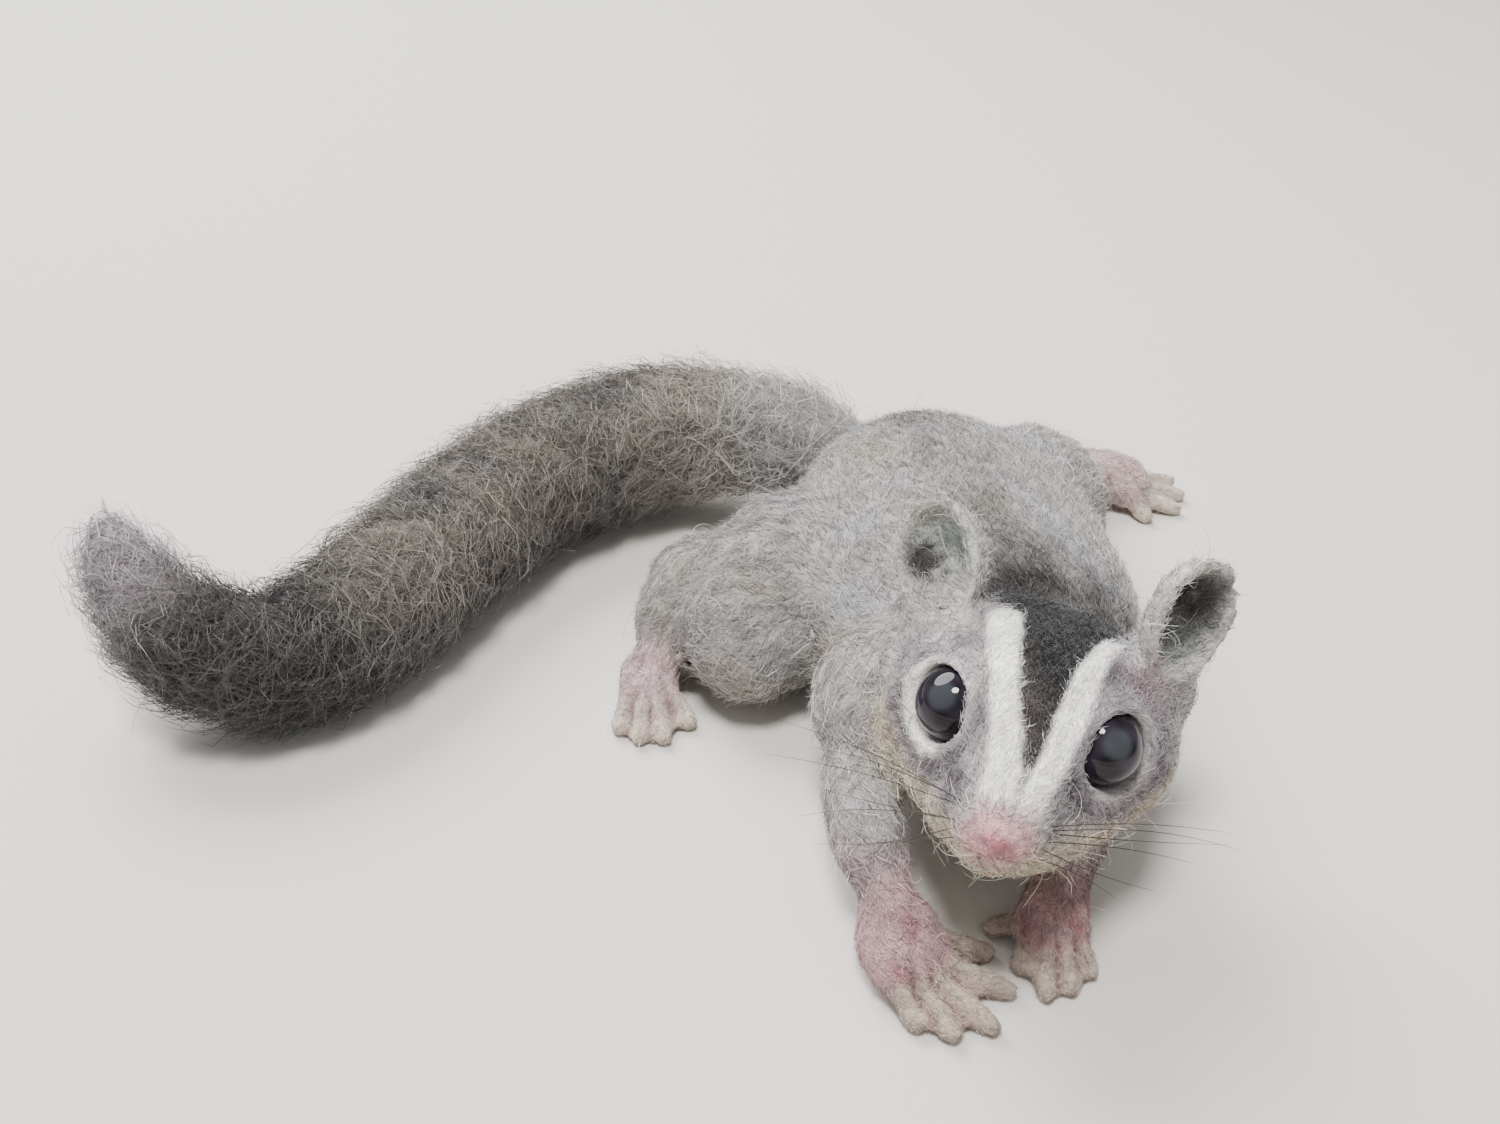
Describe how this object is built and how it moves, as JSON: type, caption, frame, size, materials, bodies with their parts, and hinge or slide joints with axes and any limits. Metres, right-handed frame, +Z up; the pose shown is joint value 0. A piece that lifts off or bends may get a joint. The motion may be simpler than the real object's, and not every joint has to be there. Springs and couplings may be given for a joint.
{
  "type": "needle-felted sugar glider figure",
  "caption": "Needle-felted wool figure of a crawling sugar glider with splayed legs, a long curled tail and glass eyes.",
  "frame": {"origin": "on the floor, in the middle of the whole figure seen from above", "axes": "+Z up; the body points along -Y, nose first, and the animal's left side is +X"},
  "size_m": [0.1832, 0.1316, 0.048],
  "materials": {
    "felt_body": "needle-felted wool, pale grey with a brown-grey back stripe, short standing fibres",
    "felt_face": "needle-felted wool, grey with two raised white stripes, a black crown and cream cheeks",
    "felt_ear": "thin felt, pale rim and dark hollow",
    "felt_tail": "long loose wool over felt, charcoal underside and pale tip",
    "felt_paw": "smooth firm felt, pink with mauve patches",
    "felt_digit": "smooth firm felt, cream",
    "felt_nose": "smooth firm felt, pink",
    "glass_eye": "glossy near-black glass dome",
    "whisker": "thin dark stiff hairs, made in the scene only"
  },
  "bodies": {
    "root": {"chest": "felt_body", "ear_left": "felt_ear", "ear_right": "felt_ear", "eye_left": "glass_eye", "eye_right": "glass_eye", "foot_left": "felt_paw", "foot_right": "felt_paw", "forearm_left": "felt_body", "forearm_right": "felt_body", "front_left_digit_1": "felt_digit", "front_left_digit_2": "felt_digit", "front_left_digit_3": "felt_digit", "front_left_digit_4": "felt_digit", "front_left_digit_5": "felt_digit", "front_right_digit_1": "felt_digit", "front_right_digit_2": "felt_digit", "front_right_digit_3": "felt_digit", "front_right_digit_4": "felt_digit", "front_right_digit_5": "felt_digit", "hand_left": "felt_paw", "hand_right": "felt_paw", "head": "felt_face", "hind_left_digit_1": "felt_digit", "hind_left_digit_2": "felt_digit", "hind_left_digit_3": "felt_digit", "hind_left_digit_4": "felt_digit", "hind_right_digit_1": "felt_digit", "hind_right_digit_2": "felt_digit", "hind_right_digit_3": "felt_digit", "hind_right_digit_4": "felt_digit", "loin": "felt_body", "neck": "felt_body", "nose": "felt_nose", "rump": "felt_body", "shank_left": "felt_body", "shank_right": "felt_body", "tail_1": "felt_tail", "tail_2": "felt_tail", "tail_3": "felt_tail", "tail_4": "felt_tail", "tail_5": "felt_tail", "thigh_left": "felt_body", "thigh_right": "felt_body", "upper_arm_left": "felt_body", "upper_arm_right": "felt_body"}
  },
  "joints": []
}
